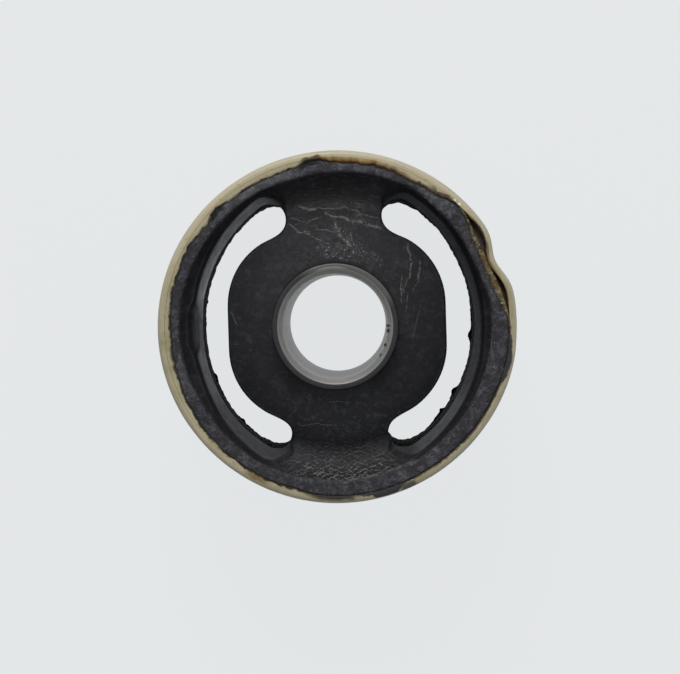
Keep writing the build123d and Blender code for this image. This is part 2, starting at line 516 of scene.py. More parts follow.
def rim_rows(skin, way):
    """Adds one end's rim and gives its inner row and its outer row."""
    if way > 0:
        bond = rim_bond
        short, loose = np.maximum(chip, 0.03), torn_open_at(angles)
    else:
        bond, short, loose = outer_wall("rubber_body", parting - rim_face + 0.4), 0.05, 0.0
    edge = bond - short
    shelf = step(short, 0.1, 0.4) * (way > 0)
    depth = 0.1 + 0.3 * loose * shelf
    crumbs = (0.04 + 0.3 * loose) * rough(circle, 0.9, 21) * shelf
    climb = 0.42 * (1 - loose) * shelf  # the bonding coat climbs to the steel's mouth
    shape = ((-0.45, 0), (-0.3, 0.02), (-0.16, 0.07), (-0.05, 0.2))
    levels = [(edge + off, rim_face - drop) for off, drop in shape]
    levels.append((edge + 0.02, rim_face - 0.2 - 0.2 * (depth - 0.1)))
    levels.append((edge + 0.05, rim_face - 0.1 - depth))
    for share in (0.2, 0.4, 0.6, 0.8):
        radius = edge + 0.05 + share * (short - 0.05)
        levels.append((radius, rim_face - depth + crumbs + climb * share**0.6))
    dip = 0.15 * (1 - shelf * (1 - loose))
    levels.append((bond, rim_face - dip - depth + climb))
    rows = [polar(radius, angles, parting + way * height) for radius, height in levels]
    first = skin.row(rows[0])
    return first, skin.rows(rows[1:], first)


# %% [markdown]
# ## The voids
# Each void's wall is a strip of rows between two lips. At its lower lip the mould's halves met,
# and the used bush has ragged flash there: small teeth all along, and a few longer tags.

# %% Flash along the lower lip
# the angle, length and spread of each tag, for the void on the left and on the right
flash_tags = {
    -1: (
        (169, 0.2, 0.7), (179, 0.1, 6), (201.5, 0.3, 1.3),
        (206, 0.12, 5), (223.7, 0.3, 1.3), (232, 0.1, 5),
    ),
    1: (
        (-42, 0.45, 1.6), (-46, 0.2, 3), (-31.5, 0.5, 1.6),
        (-35, 0.2, 3), (-6.5, 0.45, 3), (2, 0.15, 3),
    ),
}


def outer_side(loop):
    """1 along a void's outer wall, and 0 along the hub."""
    return step(np.hypot(*loop.T), 21.5, 24.5)


def flash(points, side):
    """How far the flash stands into the void, for points along its lower lip."""
    angle = around_axis(points)[1]
    spots = levelled(points)
    teeth = 0.08 + 0.07 * rough(spots, 1.3, 31, 2) + 0.06 * rough(spots, 0.5, 32, 1)
    tags = sum(
        length * near_angle(angle, turn, spread) for turn, length, spread in flash_tags[side]
    )
    tags *= 1 + 0.5 * rough(spots, 0.7, 33, 2)
    return np.clip(teeth * 1.3 + tags, 0, 1.1) * outer_side(points)


# %% A void's ledge and pocket at one end
# angle in degrees, the share of the ledge's width that is left, and how far its lip stands in
ledge_shape = (
    (-66, 0.82, 0), (-62, 0.94, 0.22), (-54, 0.94, 0.2), (-48, 0.94, 0), (-15, 0.94, 0),
    (-5, 0.82, 0), (110, 0.82, 0), (118, 0.76, 0.3), (135, 0.72, 0.32), (150, 0.68, 0.3),
    (168, 0.64, 0.3), (175, 0.8, 0.5), (188, 0.7, 0.5), (196, 0.58, 0.42), (208, 0.68, 0.4),
    (216, 0.86, 0.4), (226, 1.0, 0.42), (232, 1.02, 0.6), (242, 1.04, 0.7), (248, 1.0, 0.3),
    (256, 0.9, 0),
)
pocket_lean = math.tan(math.radians(6))
ledge_above_parting = ledge_height - parting


def stop_pad_at(angle):
    """1 at the stop pad on the left void's outer wall, and 0 elsewhere."""
    return near_angle(angle, 179.3, 9.3, 8)


def pocket_rows(loop, out, way, count):
    """Rows from a void's lip over its ledge, up the pocket's wall and onto the face."""
    width = np.minimum(wall_back(loop, out, parting + way * (ledge_above_parting + 0.1)), 1.7)
    radius, angle = around_axis(loop)
    faces_out = np.sum(out * loop, axis=1) / radius
    run_out = step(void_end - np.abs(loop[:, 0]), 0, 5.0) * outer_side(loop)
    width = width * (1 - 0.8 * run_out) * step(faces_out, -0.1, 0.7)
    stop = bulge = 0 * width
    if way > 0:
        stop = stop_pad_at(angle) * outer_side(loop)  # the stop pad fills the ledge
        width = width * (1 - 0.85 * stop) * from_table(angle, ledge_shape, 1)
        bulge = from_table(angle, ledge_shape, 2) * outer_side(loop)
    base = ledge_above_parting
    share = step(width, 0.2, 1.0)
    rounder = run_out * step(faces_out, 0, 0.6)
    lip, foot, edge = 0.15 * share, 0.42 * share, 0.35 + 1.2 * rounder
    lean = 1.5 * stop + 0.9 * rounder

    def face(off):
        """How high the face lies at each column, so far out of the loop."""
        return face_height(way, loop + out * off[:, None])

    top = face(width + lean + 0.7)
    rise = np.maximum(top - base, 0.8)
    tilt = 0.1 * share
    shoulder = width + lean + (rise - edge) * pocket_lean
    bends = [(np.sin(turn), 1 - np.cos(turn)) for turn in np.radians((0, 30, 60, 90))]
    path = [(lip * start - bulge, base - lip - tilt + lip * end) for end, start in bends]
    path += [(width - foot + foot * end, base + foot * start) for end, start in bends]
    path += [(shoulder + edge * start, base + rise - edge + edge * end) for end, start in bends]
    for past in (0.12, 0.25):
        path.append((shoulder + edge + past, face(shoulder + edge + past)))
    offsets, heights = (
        np.stack([np.broadcast_to(value, width.shape) for value in values], axis=-1)
        for values in zip(*path)
    )
    heights[:, -3] = face(offsets[:, -3])
    crowding = np.ones(len(path) - 1)
    crowding[:3] = crowding[4:7] = crowding[8:11] = 4  # rows lie closer round a bend
    rows = np.zeros((count, len(loop), 3))
    for column in range(len(loop)):
        lengths = np.hypot(np.diff(offsets[column]), np.diff(heights[column]))
        along = np.r_[0, np.cumsum(lengths * crowding + 1e-4)]
        stops = np.linspace(0, along[-1], count)
        back = np.interp(stops, along, offsets[column])
        rows[:, column, :2] = loop[column] + back[:, None] * out[column]
        rows[:, column, 2] = parting + way * np.interp(stops, along, heights[column])
    return rows


def lower_lip(loop, out):
    """The void's outline at its lower end: its outer wall leans back, more where it is worn."""
    back = np.minimum(wall_back(loop, out, parting - ledge_above_parting + 0.1), 0.78)
    angle = around_axis(loop)[1]
    worn = 0.16 + 0.16 * near_angle(angle, 212, 16, 4) + 0.14 * near_angle(angle, 43, 9)
    worn += 0.12 * near_angle(angle, -22, 8)
    left, high = loop[:, 0] < 0, loop[:, 1] > 0
    upright = np.where(left, np.where(high, 0.6, 0.85), np.where(high, 0.55, 0.8))
    worn -= upright * step(-np.abs(loop[:, 0]), -17.0, -13.0)  # the wall stands so near its ends
    return loop + out * (back + worn * outer_side(loop))[:, None]


def wall_rows(loop, out, side, low_row, high_row):
    """Rows up a void's wall between its two lips, with the flash at the lower one."""
    reach = flash(low_row[:, :2], side)
    shares = (0.008, 0.016, 0.026, 0.04, 0.07, 0.12, 0.2, 0.3, 0.4, 0.5, 0.6, 0.7, 0.8, 0.88, 0.95)
    rows = []
    for share in shares:  # of the way up
        fin = math.exp(-(((share - 0.014) / 0.014) ** 2))
        points = low_row + share * (high_row - low_row)
        swell = 0.06 * rough(points, 3.0, 41) * min(1, share * 8)
        skirt = 0.3 * reach * math.exp(-share / 0.05)
        points[:, :2] -= out * (reach * fin + skirt + swell)[:, None]
        rows.append(points)
    return rows


# %% The rubber's skin
hub_columns = 240
hub_turn = np.arange(hub_columns) * 360 / hub_columns
tube_x, tube_radius = -0.25, 11.9


def hub_rows(skin, way):
    """Adds one end's rows round the bolt tube, and gives the outer and the inner one."""
    rows = []
    for off in (1.2, 0.8, 0.45, 0.2, 0):
        points = polar(tube_radius + off, hub_turn, 0, tube_x)
        points[:, 2] = parting + way * face_height(way, points)
        rows.append(points)
    rows[-1][:, 2] -= way * 0.15  # the rubber dips where it meets the tube
    first = skin.row(rows[0])
    return first, skin.rows(rows[1:], first)


rubber = Skin()
low_lips, high_lips = [], []
for side, loop in zip((-1, 1), void_loops):
    out = sideways(loop)
    high = pocket_rows(loop, out, 1, 28)
    low = pocket_rows(lower_lip(loop, out), out, -1, 13)
    low_ring = rubber.row(low[0])
    wall = rubber.rows(wall_rows(loop, out, side, low[0], high[0]), low_ring)
    high_lips.append(rubber.rows(high, wall))
    low_lips.append(rubber.rows(low[1:], low_ring))

upper_rim, upper_edge = rim_rows(rubber, 1)
lower_rim, lower_edge = rim_rows(rubber, -1)
gap_floor = 42.3  # above it, the rubber stands clear of the steel at the fold
bonded = []
for level in (43.2, 42.6, gap_floor, 42, 40, 38, 36, 34.5, 33, 29, 25, 21, 17, 10):
    rubber_wall = creased(outer_wall("rubber_body", level), level) - pulled
    steel_wall = creased(outer_wall("outer_sleeve", level, True), level) - 0.03
    bonded.append(polar(steel_wall if level < gap_floor else rubber_wall, angles, level))
rubber.join(rubber.rows(bonded, upper_edge), lower_edge)
upper_hub, upper_seat = hub_rows(rubber, 1)
lower_hub, lower_seat = hub_rows(rubber, -1)
rubber.join(upper_seat, lower_seat)
for way, spacing, rings in (
    (1, 0.38, [upper_rim, *high_lips, upper_hub]),
    (-1, 0.7, [lower_rim, *low_lips, lower_hub]),
):
    rubber.fill(rings, 0, spacing, lambda spots: parting + way * face_height(way, spots))
print(f"rubber: {rubber.count} points so far")

# %% [markdown]
# ## Grain, and where the rubber is worn
# The rim is torn rubber, so it is grainy, while the hub is smooth. Points are pushed a little along
# the surface's own direction, by lumps of the right size for each zone. The same zones are kept as
# numbers on the mesh, one set for each kind of wear and for the painted sheen and shade, and the
# finish reads them by name.

# %% Zones of the rubber
def beyond_rubber(points):
    """How far points lie outside the rubber's ragged edge, in millimetres."""
    radius, angle = around_axis(points)
    return radius - np.interp(angle, angles, rim_bond - chip, period=360)


at = np.vstack(rubber.points)
reach, bearing = around_axis(at)
upper = step(at[:, 2], 30, 33)
beyond = beyond_rubber(at)
from_rim = reach - from_table(bearing, rim_edges)

torn_rim = upper * step(from_rim, -0.15, 0.2) * step(at[:, 2], 43.0, 43.8)
torn_rim *= step(-beyond, -0.12, 0.12)
bonding = upper * step(beyond, -0.1, 0.08) * step(at[:, 2], 40, 42)
gap = upper * step(-at[:, 2], -44.0, -43.4) * step(reach, 30.0, 30.3) * torn_open_at(bearing)
above_ledge = at[:, 2] - ledge_height
by_wall = upper * step(reach, 22.5, 24.5)
on_ledge = by_wall * step(above_ledge, -0.3, -0.12) * step(-above_ledge, -1.5, -0.15)
# The ledge's paleness by angle is partly dust and partly a painted sheen where the ledge catches
# light.
dust_and_sheen = (  # angle in degrees, and how pale the ledge is there
    (-75, 0.02), (-62, 0.05), (-56, 0.2), (-36, 0.22), (-25, 0.08), (0, 0.06), (30, 0.12),
    (50, 0.2), (66, 0.14), (72, 0.03), (108, 0.04), (113, 0.1), (120, 0.85), (135, 1.05),
    (150, 1.0), (165, 0.85), (171, 0.4), (176, 0.22), (186, 0.2), (191, 0.3), (205, 0.3),
    (215, 0.15), (240, 0.14), (246, 0.05),
)
pad = by_wall * stop_pad_at(bearing) * step(above_ledge, -0.3, 0.0) * step(-reach, -28.2, -27.2)
ledge = np.maximum(on_ledge, pad) * from_table(bearing, dust_and_sheen)
# The voids' deep walls, below the ledge, are painted near black as painted shade.
deep = 1 - step(at[:, 2], 36.9, 37.9)
net = upper * near_angle(bearing, -89.5, 20, 4) * step(reach, 17, 23) * step(-reach, -29.8, -29.3)
speckled = (  # angle in degrees, and how pale and speckled the rim is there
    (2, 0.5), (10, 0.8), (24, 0.6), (38, 0.4), (50, 1.0), (58, 0.6), (78, 0.95), (90, 0.75),
    (99, 0.75), (108, 1.1), (124, 1.25), (138, 0.9), (148, 0.35), (170, 0.3), (186, 0.5),
    (196, 1.1), (204, 0.75), (216, 0.45), (232, 0.5), (250, 0.4), (265, 0.55), (285, 0.6),
    (305, 0.75), (325, 0.45), (340, 0.7),
)
flecked = from_table(bearing, speckled)
for zone, values in (("ledge", on_ledge), ("bonding coat", bonding), ("torn rim", torn_rim)):
    print(f"{zone}: {np.mean(values > 0.5):.1%} of the points")

# %% [markdown]
# The hub's scratches were made one by one, so they are a list: from where, to where, how wide and
# how strong, in millimetres seen from above. Each point of the skin keeps how far it lies to the
# side of its nearest scratch. The finish turns that into a fine line, finer than the mesh.

# %% Scratches and scuffs on the hub
scratches = (
    ((14.2, 14.8), (14.5, 11.4), 0.3, 0.5), ((14.5, 12.4), (14.1, 8.6), 0.22, 0.6),
    ((14.1, 9.0), (12.9, 6.2), 0.14, 0.45), ((16.4, 11.6), (15.9, 8.2), 0.26, 0.45),
    ((16.0, 8.0), (14.9, 6.4), 0.15, 0.4), ((12.5, 8.8), (12.3, 4.4), 0.14, 0.6),
    ((13.6, 5.6), (13.3, 2.6), 0.13, 0.5), ((15.9, 2.4), (14.6, -2.4), 0.15, 0.3),
    ((-6.2, 23.1), (-3.4, 22.4), 0.34, 0.5), ((-3.0, 22.8), (1.6, 22.6), 0.2, 0.42),
    ((2.0, 23.0), (4.6, 21.9), 0.2, 0.36), ((-1.2, 21.6), (3.6, 20.0), 0.28, 0.6),
    ((3.6, 20.2), (8.6, 18.7), 0.34, 0.5), ((5.0, 21.3), (8.4, 20.7), 0.18, 0.34),
    ((-8.4, 19.6), (-6.8, 18.2), 0.16, 0.6), ((-6.6, 17.9), (-5.2, 18.3), 0.2, 0.55),
    ((-4.9, 17.8), (-2.4, 16.2), 0.16, 0.6), ((-7.8, 20.9), (-6.2, 20.3), 0.13, 0.4),
    ((-5.6, 20.2), (-3.0, 20.8), 0.13, 0.4), ((-3.2, 18.6), (-0.3, 18.1), 0.14, 0.6),
    ((0.2, 19.6), (1.2, 17.0), 0.34, 0.6), ((1.4, 16.8), (2.9, 15.4), 0.3, 0.6),
    ((3.4, 17.4), (3.9, 15.2), 0.2, 0.55), ((-19.9, 2.8), (-19.2, 0.9), 0.14, 0.45),
    ((-20.0, -2.9), (-18.6, -2.9), 0.13, 0.38), ((-7.0, -19.0), (-3.9, -18.6), 0.15, 0.5),
    ((-3.6, -18.9), (-1.0, -19.1), 0.15, 0.55), ((-2.0, -14.4), (1.4, -14.6), 0.14, 0.5),
)
scuffs = (
    ((-1.8, 14.6), (0.8, 13.9), 1.5, 0.7), ((0.6, 14.4), (4.4, 13.8), 1.7, 0.8),
    ((4.6, 14.4), (7.6, 12.3), 1.2, 0.75), ((0.4, 18.8), (3.0, 16.0), 0.8, 0.6),
    ((2.6, 20.4), (8.0, 19.2), 0.6, 0.5), ((-17.6, -3.4), (-18.6, -6.0), 1.2, 0.16),
    ((-7.8, -15.0), (-3.0, -16.0), 1.3, 0.14), ((0.6, -19.4), (2.6, -19.8), 1.2, 0.3),
    ((-10.6, -13.6), (-12.0, -11.2), 1.6, 0.1), ((8.0, -13.6), (13.0, -10.4), 2.4, 0.08),
)


def stroke_zones(points, strokes):
    """How far points lie to the side of their nearest stroke, in widths, and how near it is."""
    flat = levelled(points)
    bent = flat[:, :2] + 0.35 * np.stack([rough(flat, 1.8, seed) for seed in (81, 82)], axis=-1)
    strength = np.zeros(len(points))
    side = nearest = np.full(len(points), 9.0)  # further off than any stroke counts
    for start, end, width, power in strokes:
        start, way = np.array(start), np.subtract(end, start)
        off = bent - start
        along = np.clip(off @ way / (way @ way), 0, 1)
        away = np.hypot(*(off - along[:, None] * way).T)
        closer = away < nearest
        across = (off[:, 0] * way[1] - off[:, 1] * way[0]) / np.hypot(*way)
        side = np.where(closer, across / width, side)
        strength = np.where(closer, power * step(-away, -width - 0.4, -width), strength)
        nearest = np.where(closer, away, nearest)
    return side, strength


scratch_side, scratched = stroke_zones(at, scratches)
scratched *= upper * (at[:, 2] > 38.5)
scuffed = sum(stroke_zones(at, (stroke,))[1] for stroke in scuffs) * upper
scuffed = np.clip(scuffed, 0, 1)
print(f"{len(scratches)} scratches, {len(scuffs)} scuffs")


# %% Push the points along the surface
def surface_ways(skin):
    """The direction that the skin faces at each of its points."""
    mesh = bpy.data.meshes.new("trial")
    mesh.from_pydata(np.vstack(skin.points).tolist(), [], skin.faces)
    whole = bmesh.new()
    whole.from_mesh(mesh)
    bmesh.ops.recalc_face_normals(whole, faces=whole.faces)
    whole.normal_update()
    ways = np.array([vertex.normal for vertex in whole.verts])
    whole.free()
    bpy.data.meshes.remove(mesh)
    return ways


push = torn_rim * (0.13 * rough(at, 1.1, 61) + 0.06 * rough(at, 0.45, 62, 1) - 0.06)
push += bonding * (0.03 + 0.09 * torn_open_at(bearing)) * rough(at, 0.7, 63)
push += 0.025 * upper * rough(at, 6, 64)
push += on_ledge * (0.04 * rough(at, 1.5, 65) + 0.02)
rubber.points = [at + push[:, None] * surface_ways(rubber)]
moulding = rubber.piece(
    "rubber_moulding",
    "rubber_body",
    "aged_rubber",
    torn_rim=torn_rim,
    bonding=bonding,
    beyond=beyond,
    gap=gap,
    ledge=ledge,
    deep=deep,
    net=net,
    flecked=flecked,
    from_rim=from_rim,
    scratch_side=scratch_side,
    scratched=scratched,
    scuffed=scuffed,
)

# %% [markdown]
# ## The outer sleeve
# The sleeve is a thin drawn tube with a rounded mouth. Rays at the solid give both its walls at
# every height, so the new skin keeps the solid's true shape, with the crease added. Rows lie close
# together where they make the rounded mouth.

# %% The outer sleeve's skin
mouth, foot = 45.0, 5.0
mouth_round, lip_round = 0.9, 0.12
bore_rows = 16  # the last of the sleeve's rows run down its inside


def sleeve_wall(height, outwards=False):
    """The sleeve's outer wall at a height, or its inner wall, met from inside outwards."""
    return creased(outer_wall("outer_sleeve", height, outwards), height)


def bend(radius, turns):
    """How far each row of a rounded edge lies back from the edge's side and from its end."""
    for turn in map(math.radians, turns):
        yield radius * (1 - math.cos(turn)), radius * (1 - math.sin(turn))


crown = sleeve_wall(mouth - mouth_round - 0.01)  # the outer wall, where the mouth begins to round
bore = sleeve_wall(mouth - 0.1, outwards=True)  # the inner wall at the mouth


def sleeve_rows():
    """Rows up the outside of the sleeve, over its mouth and down the inside."""
    shaft = outer_wall("outer_sleeve", 8.0)
    levels = [(shaft - inset, foot + rise) for rise, inset in bend(mouth_round, (0, 30, 60, 90))]
    rising = (10, 13, *range(16, 33, 2), *np.linspace(33, mouth - mouth_round - 0.05, 14))
    levels += [(sleeve_wall(height), height) for height in rising]
    for inset, drop in bend(mouth_round, (8, *range(18, 91, 12))):
        levels.append((crown - inset, mouth - drop))
    flat = crown - mouth_round
    for share in (0.25, 0.5, 0.75):
        levels.append((flat + share * (bore + lip_round - flat), mouth))
    levels += [(bore + inset, mouth - drop) for inset, drop in bend(lip_round, (90, 45, 0))]
    falling = (*np.linspace(mouth - 0.8, 33, 10), 29, 25, 21, 17, foot + 0.1)
    levels += [(sleeve_wall(height, outwards=True), height) for height in falling]
    return [polar(radius, angles, height) for radius, height in levels]


sleeve = Skin()
rows = sleeve_rows()
first = sleeve.row(rows[0])
sleeve.join(sleeve.rows(rows[1:], first), first)
at = np.vstack(sleeve.points)
beyond = beyond_rubber(at)
reach, bearing = around_axis(at)
rounded = step(reach - np.tile(crown, len(rows)), -0.75, -0.3)
smear = step(-beyond, -0.1, 0.15) * step(at[:, 2], 44.2, 44.7)
inside = reach - np.tile(bore, len(rows)) + 0.1 * rough(at, 1.0, 73)
# At the fold the mouth's inner edge is sunk, and the finish darkens it: partly a stain, partly
# painted shade.
hollow = 0.34 * near_angle(bearing, 31, 4.5, 4) + 0.05 * near_angle(bearing, 12, 4, 4)
hollow = step(hollow - inside, -0.05, 0.1) * step(at[:, 2], 43, 44) * step(hollow, 0.02, 0.1)
amber = 0.4 * near_angle(bearing, 22, 5, 4) + 0.25 * near_angle(bearing, 12, 7, 4)
amber += 0.5 * near_angle(bearing, 32, 8, 4)
amber = step(amber - inside, -0.1, 0.2) * step(at[:, 2], 43, 44)
push = smear * (0.06 + 0.08 * rough(at, 1.1, 61)) + 0.02 * rough(at, 4, 71) * step(at[:, 2], 42, 44)
push -= 0.3 * hollow
down_the_bore = np.repeat(np.arange(len(rows)) >= len(rows) - bore_rows, columns)
gap_side = down_the_bore * torn_open_at(bearing) * step(at[:, 2], 40, 42)
# Two small white spots on the sleeve's mouth: a painted highlight.
glint = np.zeros(len(at))
for x, y, size in ((24.07, 22.5, 0.34), (23.25, 23.3, 0.26)):
    glint = np.maximum(glint, step(-np.hypot(at[:, 0] - x, at[:, 1] - y), -size, -size * 0.4))
sleeve.points = [at + push[:, None] * surface_ways(sleeve)]
steel_sleeve = sleeve.piece(
    "steel_sleeve",
    "outer_sleeve",
    "worn_steel_sleeve",
    rounded=rounded,
    beyond=beyond,
    smear=smear,
    hollow=hollow,
    gap_side=gap_side,
    amber=amber,
    glint=glint,
)

# %% [markdown]
# ## The bolt tube
# The tube is turned: a plain bore, a wide chamfer at each mouth and a small round outside. It is
# one profile, turned about the tube's own axis, which the used rubber has let settle to -X.

# %% The bolt tube's skin
tube_length, bore_radius, chamfer, tube_round = 50.0, 10.0, 0.95, 0.25
tube_columns = 256
tube_turn = np.arange(tube_columns) * 360 / tube_columns


def tube_profile():
    """Radii and heights from the middle of the bore, out over the upper mouth and half way down."""
    inner, outer, end = bore_radius + chamfer, tube_radius - tube_round, tube_length / 2
    levels = (0.0, 8.0, 16.0, 21.0, 23.2, 23.7, end - chamfer - 0.15)
    half = [(bore_radius, height) for height in levels]
    half += [(inner - rest, end - rest) for rest in (0.93, 0.8, 0.6, 0.4, 0.2, 0.03)]
    half += [(inner + 0.05, end), ((inner + outer) / 2, end)]
    for drop, inset in bend(tube_round, (0, 22, 45, 67, 90)):
        half.append((tube_radius - inset, end - drop))
    return half + [(tube_radius, 20.0), (tube_radius, 8.0)]


half = tube_profile()
profile = half + [(radius, -height) for radius, height in reversed(half[1:])]
# torn bits of rubber in the mouth: the angle, height and spread of each
torn_bits = ((-1, 0.42, 1.6), (-6.5, 0.3, 2.2), (-22, 0.16, 2), (-34, 0.1, 2.5))
stuck = sum(height * near_angle(tube_turn, turn, spread) for turn, height, spread in torn_bits)
tube = Skin()
rows = []
for radius, height in profile:
    near_mouth = math.exp(-(((height - tube_length / 2 + chamfer) / 0.35) ** 2))
    rows.append(polar(radius - stuck * near_mouth, tube_turn, tube_length / 2 + height, tube_x))
first = tube.row(rows[0])
tube.join(tube.rows(rows[1:], first), first)
bolt_tube = tube.piece("bolt_tube", "inner_sleeve", "turned_steel", crease=30)

# %% [markdown]
# ## Finishes
# Each finish is a node tree. Its texture coordinates are the object's own, in millimetres, so grain
# and scratches have their true size. Effects that more than one finish uses are node groups:
# *grain* gives fine lumps as a mask and a height, *round the axis* turns a place into a distance
# from the axis and an angle, and *bonding coat* gives the tan coat with its stains.


# %% Small helpers for node trees
def node(tree, kind, inputs=None, **settings):
    """A new node. An input that is given another node's socket is linked to it."""
    made = tree.nodes.new(kind)
    for name, value in settings.items():
        setattr(made, name, value)
    for name, value in (inputs or {}).items():
        if isinstance(value, bpy.types.NodeSocket):
            tree.links.new(value, made.inputs[name])
        else:
            made.inputs[name].default_value = value
    return made


def maths(tree, operation, *values):
    """One Math node. Each value is a number or a socket."""
    return node(tree, "ShaderNodeMath", dict(enumerate(values)), operation=operation).outputs[0]


def times(tree, *values):
    """The product of several numbers or sockets."""
    return reduce(lambda total, value: maths(tree, "MULTIPLY", total, value), values)


def most(tree, *values):
    """The greatest of several numbers or sockets."""
    return reduce(lambda total, value: maths(tree, "MAXIMUM", total, value), values)


def vectors(tree, operation, *values):
    """One Vector Math node. Each value is a vector or a socket."""
    values = dict(enumerate(values))
    return node(tree, "ShaderNodeVectorMath", values, operation=operation).outputs[0]


def ramp(tree, value, low, high, flat_low=0.0, flat_high=1.0):
    """A smooth slope from one value to another."""
    ends = {"From Min": low, "From Max": high, "To Min": flat_low, "To Max": flat_high}
    ends["Value"] = value
    return node(tree, "ShaderNodeMapRange", ends, interpolation_type="SMOOTHSTEP").outputs["Result"]


def mixed(tree, share, first, second):
    """A colour between two others."""
    first, second = ((*tone, 1) if isinstance(tone, tuple) else tone for tone in (first, second))
    return node(tree, "ShaderNodeMix", {0: share, 6: first, 7: second}, data_type="RGBA").outputs[2]


def noise(tree, place, size, detail=2.0, roughness=0.5):
    """Noise from 0 to 1 whose lumps are about `size` millimetres across."""
    inputs = {"Vector": place, "Scale": 1 / size, "Detail": detail, "Roughness": roughness}
    return node(tree, "ShaderNodeTexNoise", inputs).outputs["Fac"]


def stretched(tree, x, y, z=0.0, detail=2.0, roughness=0.5):
    """Noise with lumps that are longer one way, from a place with a scale of its own each way."""
    spots = node(tree, "ShaderNodeCombineXYZ", {"X": x, "Y": y, "Z": z}).outputs[0]
    return noise(tree, spots, 1.0, detail, roughness)


def beside(tree, value, middle, outer, inner):
    """1 within `inner` of a value and 0 more than `outer` from it: a line with soft sides."""
    off = maths(tree, "ABSOLUTE", maths(tree, "SUBTRACT", value, middle))
    return ramp(tree, off, outer, inner)


def mask(tree, name):
    """A zone that was kept on the mesh."""
    return node(tree, "ShaderNodeAttribute", attribute_name=name).outputs["Fac"]


def arc(tree, angle, middle, half_width, soft=4.0):
    """1 near an angle of the bush and 0 away from it, with soft ends."""
    off = maths(tree, "SUBTRACT", angle, middle)
    off = maths(tree, "ABSOLUTE", maths(tree, "WRAP", off, 180.0, -180.0))
    return ramp(tree, off, half_width + soft, half_width - soft)


def group(name, inputs, outputs):
    """An empty node group with its sockets, its input node and its output node."""
    tree = bpy.data.node_groups.new(name, "ShaderNodeTree")
    for socket, kind, value in inputs:
        made = tree.interface.new_socket(socket, in_out="INPUT", socket_type=kind)
        if value is not None:
            made.default_value = value
    for socket, kind in outputs:
        tree.interface.new_socket(socket, in_out="OUTPUT", socket_type=kind)
    return tree, tree.nodes.new("NodeGroupInput").outputs, tree.nodes.new("NodeGroupOutput").inputs


def use(tree, which, **inputs):
    """Places one of the node groups, and gives its outputs."""
    return node(tree, "ShaderNodeGroup", inputs, node_tree=which).outputs


number, spot, tint = "NodeSocketFloat", "NodeSocketVector", "NodeSocketColor"

# %% Grain
grain, given, result = group(
    "grain",
    (
        ("Place", spot, None),
        ("Size", number, 0.5),
        ("Cover", number, 0.5),
        ("Softness", number, 0.1),
    ),
    (("Mask", number), ("Height", number)),
)
scale = maths(grain, "DIVIDE", 1.0, given["Size"])
lumpy = {"Vector": given["Place"], "Scale": scale, "Detail": 4.0, "Roughness": 0.65}
lumpy = node(grain, "ShaderNodeTexNoise", lumpy).outputs["Fac"]
bare = maths(grain, "SUBTRACT", 1.0, given["Cover"])
low = maths(grain, "SUBTRACT", bare, given["Softness"])
high = maths(grain, "ADD", bare, given["Softness"])
grain.links.new(ramp(grain, lumpy, low, high), result["Mask"])
grain.links.new(lumpy, result["Height"])

# %% Round the axis
around, given, result = group(
    "round the axis",
    (("Place", spot, None), ("Centre", number, 0.0)),
    (("Distance", number), ("Angle", number), ("Height", number)),
)
parts = node(around, "ShaderNodeSeparateXYZ", {"Vector": given["Place"]}).outputs
aside = maths(around, "SUBTRACT", parts["X"], given["Centre"])
squares = times(around, aside, aside), times(around, parts["Y"], parts["Y"])
around.links.new(maths(around, "SQRT", maths(around, "ADD", *squares)), result["Distance"])
turned = maths(around, "ARCTAN2", parts["Y"], aside)
around.links.new(maths(around, "DEGREES", turned), result["Angle"])
around.links.new(parts["Z"], result["Height"])

# %% [markdown]
# The tan coat is the bonding agent that was painted on the steel before the rubber was moulded. It
# shows on the sleeve and, where the rubber has torn back, beside the rubber too, so two finishes
# need it. It is made paler towards +Y and towards -X and -Y as painted light. A thin dark fringe
# all
# along the rubber's ragged edge is a painted shadow of that edge. The stains follow the same edge:
# an amber band near +Y, and brown patches where damp got in. They are one list: the arc of each
# stain, how far it reaches past the rubber, its strength and its tone.

# %% Bonding coat
coat, given, result = group(
    "bonding coat",
    (("Place", spot, None), ("Angle", number, 0.0), ("Beyond", number, 1.0)),
    (("Color", tint),),
)
place, angle = given["Place"], given["Angle"]
clouds, speckle = noise(coat, place, 3.5, 4), noise(coat, place, 0.9, 3, 0.6)
height = node(coat, "ShaderNodeSeparateXYZ", {"Vector": place}).outputs["Z"]
at_mouth = ramp(coat, height, 43.2, 44.0)
wander = maths(coat, "MULTIPLY_ADD", noise(coat, place, 1.6, 4, 0.6), 1.6, -0.8)
past = maths(coat, "ADD", given["Beyond"], times(coat, wander, 0.75))
colour = mixed(coat, ramp(coat, clouds, 0.36, 0.64), (0.285, 0.25, 0.135), (0.37, 0.328, 0.21))
